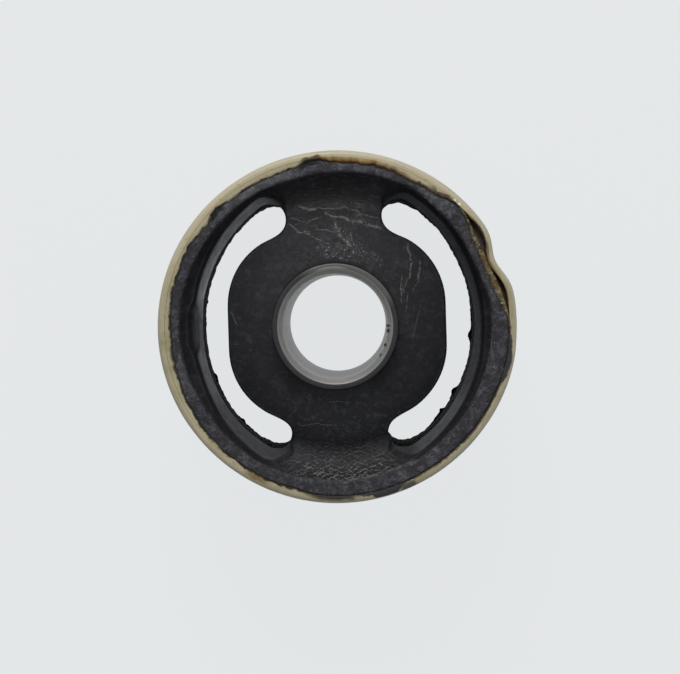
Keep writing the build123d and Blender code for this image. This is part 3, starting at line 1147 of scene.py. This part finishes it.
# The coat is paler towards +Y and, less, towards -X and -Y: painted light.
left = times(coat, arc(coat, angle, 214, 18, 22), 0.55)
painted_light_arcs = most(coat, arc(coat, angle, 98, 68, 22), left)
colour = mixed(coat, times(coat, painted_light_arcs, 0.9), colour, (0.475, 0.415, 0.27))
colour = mixed(coat, ramp(coat, speckle, 0.56, 0.72, 0.0, 0.4), colour, (0.19, 0.155, 0.075))
stains = (  # the middle, half width and softness of an arc; its reach, strength and tone
    ((83, 13, 6), 1.25, 0.75, (0.34, 0.24, 0.10)),
    ((83, 13, 5), 0.9, 0.9, (0.25, 0.135, 0.035)),
    ((66, 5, 3), 1.1, 0.8, (0.20, 0.13, 0.06)),
    ((50, 4, 2.5), 1.05, 0.9, (0.08, 0.05, 0.028)),
    ((240, 3.5, 2), 1.25, 0.8, (0.15, 0.09, 0.025)),
    ((189, 3, 2), 0.7, 0.7, (0.10, 0.075, 0.03)),
    ((265, 7, 4), 0.8, 0.85, (0.05, 0.03, 0.014)),
    ((97, 3.5, 1.5), 0.95, 0.85, (0.035, 0.022, 0.01)),
    ((84, 14, 5), 0.45, 0.9, (0.075, 0.036, 0.012)),
    ((63, 8, 4), 0.6, 0.85, (0.075, 0.048, 0.024)),
    ((285, 4.3, 0.6), 2.6, 0.95, (0.045, 0.04, 0.036)),
    ((273, 1.2, 0.8), 1.2, 0.8, (0.05, 0.04, 0.025)),
)
for stain_arc, reach, strength, tone in stains:
    within = ramp(coat, past, reach, reach * 0.6)
    stain = times(coat, arc(coat, angle, *stain_arc), within, strength, at_mouth)
    colour = mixed(coat, stain, colour, tone)
# A thin dark fringe along the rubber's ragged edge: a painted shadow of that edge.
painted_edge_shadow = times(coat, ramp(coat, past, 0.36, 0.06), ramp(coat, clouds, 0.3, 0.5, 0.55, 1.0))
painted_edge_shadow = times(coat, painted_edge_shadow, ramp(coat, arc(coat, angle, 84, 14, 5), 0.0, 1.0, 1.0, 0.4), at_mouth)
colour = mixed(coat, painted_edge_shadow, colour, (0.042, 0.032, 0.018))
coat.links.new(colour, result["Color"])
print("groups:", ", ".join(tree.name for tree in bpy.data.node_groups))


# %% A finish to start from
def finish(name):
    """A material's tree, its shader and the object's own coordinates in millimetres."""
    material = bpy.data.materials.new(name)
    material.use_nodes = True
    tree = material.node_tree
    own = node(tree, "ShaderNodeTexCoord").outputs["Object"]
    own = vectors(tree, "MULTIPLY", own, (1000, 1000, 1000))
    return material, tree, tree.nodes["Principled BSDF"], own


def round_axis(tree, place, centre=0.0):
    """A place's angle round the axis, its distance from it and its height."""
    found = use(tree, around, Place=place, Centre=centre)
    return found["Angle"], found["Distance"], found["Height"]


def dress(piece, material, colour, roughness, relief, strength, depth):
    """Ends a finish: its colour, roughness and relief go to the shader, and it to its piece."""
    tree = material.node_tree
    heights = {"Strength": strength, "Distance": depth, "Height": relief}
    bump = node(tree, "ShaderNodeBump", heights).outputs[0]
    inputs = tree.nodes["Principled BSDF"].inputs
    for name, socket in (("Base Color", colour), ("Roughness", roughness), ("Normal", bump)):
        tree.links.new(socket, inputs[name])
    piece.data.materials.append(material)


# %% [markdown]
# ## Aged rubber
# Moulded rubber is almost black and slightly satin. Age shows as grey smudges and dust on what
# faces up, pale grains in torn edges, scratches that were made one by one, and a net of fine cracks
# on the arm that was stretched. The ledges' pale grey is partly dust and partly a painted sheen, a
# painted highlight runs along the rim's inner edge, and the deep walls are painted near black as
# painted shade. Each is a layer over the last, from the widest to the finest.

# %% Aged rubber: its base, smudges and torn rim
aged_rubber, tree, shader, place = finish("aged_rubber")
angle, distance, height = round_axis(tree, place)
level = vectors(tree, "MULTIPLY", place, (1, 1, 0.3))
clouds = noise(tree, place, 4.0, 4, 0.6)
colour = mixed(tree, clouds, (0.0075, 0.0075, 0.0088), (0.0205, 0.0202, 0.0218))
smudge = ramp(tree, noise(tree, level, 2.6, 5, 0.62), 0.52, 0.72)
lower_arm = arc(tree, angle, 270, 26, 14)
smudge = times(tree, smudge, ramp(tree, lower_arm, 0.0, 1.0, 0.5, 0.8))
colour = mixed(tree, smudge, colour, (0.038, 0.038, 0.042))
colour = mixed(tree, times(tree, lower_arm, 0.4), colour, (0.032, 0.032, 0.036))
mottled = ramp(tree, noise(tree, level, 1.0, 5, 0.68), 0.5, 0.66)
dusted = times(tree, ramp(tree, distance, 13.0, 15.0), ramp(tree, distance, 25.0, 20.0))
dusted = times(tree, arc(tree, angle, 270, 30, 14), dusted)
mottled = times(tree, mottled, ramp(tree, dusted, 0.0, 1.0, 0.22, 0.7))
colour = mixed(tree, mottled, colour, (0.062, 0.063, 0.072))
dots = use(tree, grain, Place=place, Size=0.34, Cover=0.25, Softness=0.02)["Mask"]
dotted = ramp(tree, noise(tree, level, 5.5, 3), 0.45, 0.7, 0.1, 0.6)
colour = mixed(tree, times(tree, dots, dotted), colour, (0.10, 0.10, 0.10))
# Pale grey on the ledges: partly dust, partly a painted sheen.
worn_along = stretched(tree, times(tree, distance, 2.2), times(tree, angle, 0.22), 0.0, 5, 0.62)
dust_and_sheen = times(tree, mask(tree, "ledge"), ramp(tree, worn_along, 0.25, 0.72, 0.6, 1.05))
colour = mixed(tree, dust_and_sheen, colour, (0.33, 0.335, 0.345))
torn = times(tree, mask(tree, "torn_rim"), ramp(tree, mask(tree, "beyond"), -0.08, -0.4))
patchy = ramp(tree, noise(tree, place, 2.0, 4, 0.65), 0.38, 0.64, 0.15, 1.0)
lumps_seen = use(tree, grain, Place=place, Size=0.75, Cover=0.5, Softness=0.12)["Mask"]
colour = mixed(tree, times(tree, mask(tree, "torn_rim"), 0.7), colour, (0.026, 0.025, 0.030))
flecked = mask(tree, "flecked")
pale_lumps = maths(tree, "MULTIPLY_ADD", flecked, 0.7, 0.45)
pale_lumps = times(tree, torn, patchy, lumps_seen, pale_lumps)
colour = mixed(tree, pale_lumps, colour, (0.088, 0.086, 0.099))
flecks = use(tree, grain, Place=place, Size=0.62, Cover=0.32, Softness=0.03)["Mask"]
colour = mixed(tree, times(tree, flecks, torn, flecked, 0.8), colour, (0.27, 0.27, 0.285))
palest = times(tree, ramp(tree, flecked, 0.6, 1.2), torn, ramp(tree, patchy, 0.2, 1.0, 0.3, 0.75))
colour = mixed(tree, palest, colour, (0.105, 0.104, 0.115))
bright = use(tree, grain, Place=place, Size=0.36, Cover=0.34, Softness=0.03)["Mask"]
colour = mixed(tree, times(tree, bright, torn, flecked, 0.8), colour, (0.46, 0.46, 0.47))

# %% [markdown]
# The scratches' zones say how far a point lies to the side of its scratch, in widths of the
# scratch, and how strong the scratch is there. Noise pushes the line to and fro and breaks it.
# Scuffs are a thin veil and bright specks, and both stay inside their zone.

# %% Aged rubber: scratches and scuffs
flat = vectors(tree, "MULTIPLY", place, (1, 1, 0))
shake = maths(tree, "MULTIPLY_ADD", noise(tree, flat, 0.5, 3, 0.6), 2.4, -1.2)
from_line = maths(tree, "ABSOLUTE", maths(tree, "ADD", mask(tree, "scratch_side"), shake))
unbroken = ramp(tree, noise(tree, flat, 0.6, 3, 0.6), 0.38, 0.52)
scratched = times(tree, ramp(tree, from_line, 1.0, 0.35), unbroken, mask(tree, "scratched"))
clumps = ramp(tree, noise(tree, flat, 1.1, 4, 0.65), 0.44, 0.62)
colour = mixed(tree, times(tree, mask(tree, "scuffed"), clumps, 0.3), colour, (0.07, 0.07, 0.075))
specks = ramp(tree, noise(tree, flat, 0.42, 5, 0.75), 0.565, 0.63)
specks = times(tree, specks, mask(tree, "scuffed"), ramp(tree, clumps, 0.0, 1.0, 0.25, 1.0))
colour = mixed(tree, specks, colour, (0.36, 0.36, 0.35))
colour = mixed(tree, scratched, colour, (0.15, 0.15, 0.145))

# %% [markdown]
# The streaks on the upper arm and the painted highlight along the rim's inner edge, towards -Y and
# more faintly towards +X, both run round the bush. They come from noise that is stretched round the
# axis: fine from one distance to the next, and long from one angle to the next.

# %% Aged rubber: streaks that run round the bush
streaks = stretched(tree, times(tree, distance, 4.0), times(tree, angle, 0.16), 0.0, 3, 0.6)
streaks = ramp(tree, streaks, 0.55, 0.72)
on_arm = times(tree, ramp(tree, distance, 18.5, 21.0), ramp(tree, distance, 29.6, 29.0))
arm_streaks = times(tree, arc(tree, angle, 92, 22, 8), on_arm, 0.30)
# A painted highlight along the rim's inner edge, towards -Y and fainter towards +X.
rim_edge_highlight = beside(tree, mask(tree, "from_rim"), 0.0, 0.22, 0.05)
fainter = times(tree, arc(tree, angle, -14, 14, 8), 0.6)
rim_arcs = most(tree, arc(tree, angle, -77, 17, 8), fainter)
rim_edge_highlight = times(tree, rim_edge_highlight, rim_arcs, ramp(tree, noise(tree, place, 1.2, 3), 0.35, 0.6), 0.6)
upward = ramp(tree, height, 36.0, 38.0)
colour = mixed(tree, times(tree, streaks, arm_streaks, upward), colour, (0.16, 0.16, 0.16))
colour = mixed(tree, times(tree, rim_edge_highlight, upward), colour, (0.14, 0.14, 0.14))

# %% [markdown]
# The arm was squeezed up and down again and again, and its skin has cracked into a net of low
# diamonds. Two families of wavy lines that cross at a flat angle draw it, and a third family of
# level lines. Noise bends the lines and breaks them.

# %% Aged rubber: the net of cracks
sides = node(tree, "ShaderNodeSeparateXYZ", {"Vector": flat}).outputs
cracks = 0.0
# the slope of each family, how far apart its lines are, and its strength
families = ((0.42, 0.76, 1.0), (-0.42, 0.76, 1.0), (0.03, 0.68, 0.6))
for number, (slope, apart, strength) in enumerate(families):
    shifted = vectors(tree, "ADD", flat, (17.3 * number, 0, 0))
    bend = maths(tree, "MULTIPLY_ADD", noise(tree, shifted, 2.6, 3, 0.6), 2.6, -1.3)
    across_lines = maths(tree, "MULTIPLY_ADD", sides["X"], slope, sides["Y"])
    across_lines = maths(tree, "ADD", maths(tree, "DIVIDE", across_lines, apart), bend)
    line = ramp(tree, maths(tree, "PINGPONG", across_lines, 0.5), 0.13, 0.03)
    line = times(tree, line, ramp(tree, noise(tree, shifted, 1.1, 4, 0.65), 0.45, 0.58), strength)
    cracks = most(tree, cracks, line)
dense = ramp(tree, distance, 19.0, 27.0, 0.3, 1.0)
cracks = times(tree, cracks, mask(tree, "net"), dense)
between_cracks = times(tree, mask(tree, "net"), dense, 0.45)
colour = mixed(tree, between_cracks, colour, (0.013, 0.013, 0.014))
crack_tone = mixed(tree, ramp(tree, distance, 25.5, 28.5), (0.10, 0.10, 0.10), (0.19, 0.183, 0.165))
colour = mixed(tree, cracks, colour, crack_tone)

# %% [markdown]
# Last come the places that are no longer bare rubber: the bonding coat beside the torn edge and the
# dark red gap that the fold has opened; then the deep walls, painted near black as painted shade.

# %% Aged rubber: coat, gap and deep walls
left_coat = use(tree, coat, Place=place, Angle=angle, Beyond=mask(tree, "beyond"))["Color"]
crumbly = arc(tree, angle, 21, 19, 3)
flaky = ramp(tree, noise(tree, place, 1.0, 4, 0.7), 0.38, 0.58)
gold = mixed(tree, flaky, (0.024, 0.019, 0.011), (0.155, 0.128, 0.06))
gold = mixed(tree, ramp(tree, noise(tree, place, 0.6, 2), 0.56, 0.68), gold, (0.24, 0.21, 0.12))
reddish = ramp(tree, noise(tree, place, 1.4, 3), 0.42, 0.58)
reddish = times(tree, arc(tree, angle, 18, 7, 3), reddish)
gold = mixed(tree, times(tree, reddish, 0.6), gold, (0.14, 0.075, 0.028))
left_coat = mixed(tree, crumbly, left_coat, gold)
colour = mixed(tree, mask(tree, "bonding"), colour, left_coat)
gap_tone = mixed(tree, arc(tree, angle, 12, 8, 3), (0.12, 0.088, 0.072), (0.15, 0.075, 0.042))
colour = mixed(tree, mask(tree, "gap"), colour, gap_tone)
blackened = most(tree, arc(tree, angle, 135.3, 3.2, 1.0), arc(tree, angle, 98.5, 3.5, 1.2))
blackened = times(tree, blackened, mask(tree, "torn_rim"))
blackened = times(tree, blackened, ramp(tree, mask(tree, "beyond"), -1.1, -0.7))
colour = mixed(tree, blackened, colour, (0.011, 0.011, 0.012))
# The deep walls are painted near black: painted shade.
colour = mixed(tree, mask(tree, "deep"), colour, (0.003, 0.003, 0.0033))
fine = use(tree, grain, Place=place, Size=0.5, Cover=0.5, Softness=0.25)["Height"]
roughness = most(tree, ramp(tree, fine, 0.3, 0.7, 0.55, 0.8), mask(tree, "deep"))
shader.inputs["Specular IOR Level"].default_value = 0.22
relief = maths(tree, "ADD", fine, times(tree, maths(tree, "ADD", cracks, scratched), 1.5))
relief = maths(tree, "ADD", relief, times(tree, torn, lumps_seen, 2.0))
dress(moulding, aged_rubber, colour, roughness, relief, 0.6, 0.05 * mm)

# %% [markdown]
# ## The sleeve's coat
# The steel sleeve has the same tan coat, rubbed to a pinkish grey on its rounded mouth, where it
# was pressed and hammered; that grey is partly a painted reflection, and it is paler towards +Y and
# +X as painted light. Faint rings run round the mouth, and outside, pressing in and out has drawn
# long scratches down the tube. Where the rubber has smeared over the steel it is black. At the fold
# the mouth's inner edge is darkened, partly a stain and partly painted shade, and two white spots
# on the mouth are a painted highlight.

# %% The sleeve's coat
worn_sleeve, tree, shader, place = finish("worn_steel_sleeve")
angle, distance, height = round_axis(tree, place)
beyond = mask(tree, "beyond")
colour = use(tree, coat, Place=place, Angle=angle, Beyond=beyond)["Color"]
# The rounded mouth's grey is partly wear and partly a painted reflection, paler towards +Y and +X
# as painted light.
rubbed_and_lit = mixed(tree, noise(tree, place, 3.0, 3), (0.31, 0.28, 0.215), (0.375, 0.34, 0.265))
rubbed_and_lit = mixed(tree, times(tree, arc(tree, angle, 98, 68, 22), 0.85), rubbed_and_lit, (0.48, 0.43, 0.325))
rubbed_and_lit = mixed(tree, times(tree, arc(tree, angle, 346, 34, 16), 0.85), rubbed_and_lit, (0.46, 0.42, 0.33))
colour = mixed(tree, times(tree, mask(tree, "rounded"), 0.8), colour, rubbed_and_lit)
rings = stretched(tree, times(tree, distance, 5.0), times(tree, angle, 0.05))
ring_shade = ramp(tree, rings, 0.5, 0.7, 0.0, 0.3)
drawn = stretched(tree, times(tree, angle, 1.6), times(tree, height, 0.09), 0.0, 4, 0.6)
outside = ramp(tree, height, 44.3, 43.9)
colour = mixed(tree, ring_shade, colour, (0.17, 0.15, 0.11))
bare_steel = times(tree, ramp(tree, drawn, 0.52, 0.68), outside)
colour = mixed(tree, times(tree, bare_steel, 0.6), colour, (0.40, 0.385, 0.36))
rust = ramp(tree, noise(tree, place, 5.0, 6, 0.62), 0.56, 0.70)
colour = mixed(tree, times(tree, rust, outside, 0.6), colour, (0.11, 0.05, 0.022))
colour = mixed(tree, mask(tree, "amber"), colour, (0.15, 0.095, 0.045))
hollow_tone = mixed(tree, arc(tree, angle, 12, 8, 3), (0.075, 0.055, 0.045), (0.10, 0.045, 0.025))
colour = mixed(tree, mask(tree, "gap_side"), colour, hollow_tone)
stained = times(tree, arc(tree, angle, 292.5, 2.6, 0.8), ramp(tree, distance, 32.75, 32.95))
stained = times(tree, stained, ramp(tree, height, 43.6, 44.3), 0.9)
colour = mixed(tree, stained, colour, (0.055, 0.05, 0.04))
# The mouth's inner edge at the fold: partly stain, partly painted shade.
colour = mixed(tree, mask(tree, "hollow"), colour, hollow_tone)
# The two white spots on the mouth are a painted highlight.
glint = times(tree, mask(tree, "glint"), maths(tree, "SUBTRACT", 1.0, outside))
colour = mixed(tree, glint, colour, (0.86, 0.84, 0.74))
smear = mask(tree, "smear")
grit = use(tree, grain, Place=place, Size=0.3, Cover=0.36, Softness=0.04)["Mask"]
smear_tone = mixed(tree, times(tree, grit, 0.5), (0.028, 0.027, 0.027), (0.16, 0.16, 0.165))
colour = mixed(tree, smear, colour, smear_tone)
roughness = most(tree, ramp(tree, drawn, 0.3, 0.7, 0.36, 0.56), times(tree, smear, 0.8))
shader.inputs["Specular IOR Level"].default_value = 0.4
relief = maths(tree, "ADD", rings, times(tree, drawn, outside))
dress(steel_sleeve, worn_sleeve, colour, roughness, relief, 0.5, 0.03 * mm)

# %% [markdown]
# ## Turned steel
# The bolt tube is bare turned steel, dulled by age. The tool has left fine rings on its chamfer
# and in its bore. A black film of rubber covers most of its end face. Dark specks of dirt and a
# few torn bits of rubber sit in the bore's mouth. The bore is painted paler near its mouth and
# darker further down, as painted light and shade.

# %% Turned steel
turned_steel, tree, shader, place = finish("turned_steel")
angle, distance, height = round_axis(tree, place, tube_x)
colour = mixed(tree, noise(tree, place, 3, 3), (0.27, 0.265, 0.25), (0.355, 0.35, 0.333))
scales = ((distance, 9.0), (height, 7.0), (angle, 0.02))
tool_lines = stretched(tree, *(times(tree, part, scale) for part, scale in scales), 3)
colour = mixed(tree, ramp(tree, tool_lines, 0.5, 0.72, 0.0, 0.5), colour, (0.15, 0.147, 0.138))
# The bore is painted paler near its mouth and darker further down: painted light and shade.
in_bore = ramp(tree, height, 49.1, 49.0)
near_mouth = times(tree, in_bore, ramp(tree, height, 46.0, 47.4))
colour = mixed(tree, times(tree, near_mouth, 0.7), colour, (0.44, 0.43, 0.41))
painted_bore_shade = ramp(tree, height, 44.0, 30.0)
colour = mixed(tree, times(tree, painted_bore_shade, 0.5), colour, (0.17, 0.168, 0.16))
edge_line = beside(tree, height, 49.0, 0.12, 0.04)
middle_line = beside(tree, distance, 10.5, 0.07, 0.02)
colour = mixed(tree, times(tree, edge_line, 0.5), colour, (0.12, 0.118, 0.11))
middle_line = times(tree, middle_line, ramp(tree, height, 49.1, 49.3))
colour = mixed(tree, times(tree, middle_line, 0.35), colour, (0.12, 0.118, 0.11))
end_face = times(tree, ramp(tree, distance, 10.86, 11.0), ramp(tree, height, 49.3, 49.6))
bare = times(tree, arc(tree, angle, 92, 14, 12), ramp(tree, distance, 11.45, 11.25))
bare = most(tree, times(tree, bare, 0.8), times(tree, arc(tree, angle, 70, 46, 10), 0.25))
film = times(tree, end_face, maths(tree, "SUBTRACT", 1.0, bare))
dirt = use(tree, grain, Place=place, Size=0.5, Cover=0.30, Softness=0.02)["Mask"]
dirty = most(tree, arc(tree, angle, -30, 22, 8), times(tree, arc(tree, angle, 216, 10), 0.9))
stuck_bits = 0.0
for turn, half_width, strength in ((-1, 1.5, 1), (-6.5, 2.2, 1), (-22, 1.8, 1), (-34, 2.2, 0.8)):
    bit = times(tree, arc(tree, angle, turn, half_width, 0.8), strength)
    stuck_bits = most(tree, stuck_bits, bit)
stuck_bits = times(tree, stuck_bits, ramp(tree, height, 48.0, 48.5))
stuck_bits = times(tree, stuck_bits, ramp(tree, distance, 10.5, 10.2))
film = most(tree, film, times(tree, dirt, dirty), stuck_bits)
film_lumps = noise(tree, place, 1.2, 4, 0.65)
film_tone = mixed(tree, film_lumps, (0.008, 0.008, 0.009), (0.028, 0.028, 0.03))
colour = mixed(tree, film, colour, film_tone)
tree.links.new(maths(tree, "MULTIPLY_ADD", film, -0.55, 0.55), shader.inputs["Metallic"])
roughness = ramp(tree, tool_lines, 0.3, 0.7, 0.34, 0.5)
dress(bolt_tube, turned_steel, colour, roughness, tool_lines, 0.4, 0.03 * mm)

# %% [markdown]
# ## Floor and light
# The floor is pale and dull. Seen by the camera it mostly shows its own flat colour, so that the
# ground stays even, and the rest is ordinary paint, which takes the bush's soft shadow. Shiny
# metal sees the same flat colour. One broad light stands behind and above, with a weak even sky.

# %% Floor
floor_mesh = bpy.data.meshes.new("floor")
floor_mesh.from_pydata([(-3, -3, 0), (3, -3, 0), (3, 3, 0), (-3, 3, 0)], [], [(0, 1, 2, 3)])
floor = bpy.data.objects.new("floor", floor_mesh)
bpy.context.scene.collection.objects.link(floor)
pale_floor, tree, shader, place = finish("pale_floor")
shader.inputs["Base Color"].default_value = (0.62, 0.64, 0.65, 1)
shader.inputs["Roughness"].default_value = 0.8
shader.inputs["Specular IOR Level"].default_value = 0.1
glow = node(tree, "ShaderNodeEmission", {"Color": (0.80, 0.82, 0.832, 1), "Strength": 1.0})
seen = node(tree, "ShaderNodeLightPath").outputs
direct = most(tree, *(seen[f"Is {kind} Ray"] for kind in ("Camera", "Glossy", "Transmission")))
both = node(tree, "ShaderNodeMixShader", {"Fac": times(tree, direct, 0.93)})
tree.links.new(shader.outputs[0], both.inputs[1])
tree.links.new(glow.outputs[0], both.inputs[2])
tree.links.new(both.outputs[0], tree.nodes["Material Output"].inputs["Surface"])
floor_mesh.materials.append(pale_floor)

# %% Light
world = bpy.data.worlds.new("studio")
bpy.context.scene.world = world
world.use_nodes = True
sky = world.node_tree.nodes["Background"]
sky.inputs["Color"].default_value = (0.95, 0.98, 1, 1)
sky.inputs["Strength"].default_value = 0.42


def soft_light(name, place, size, power):
    """A square lamp that faces the bush."""
    light = bpy.data.lights.new(name, "AREA")
    light.size = size
    light.energy = power
    lamp = bpy.data.objects.new(name, light)
    bpy.context.scene.collection.objects.link(lamp)
    lamp.location = place
    lamp.rotation_euler = (Vector((0, 0, 0.03)) - Vector(place)).to_track_quat("-Z", "Y").to_euler()


soft_light("broad_light", (-0.05, 0.75, 0.75), 0.5, 7.5)
bpy.context.scene.view_settings.view_transform = "Standard"
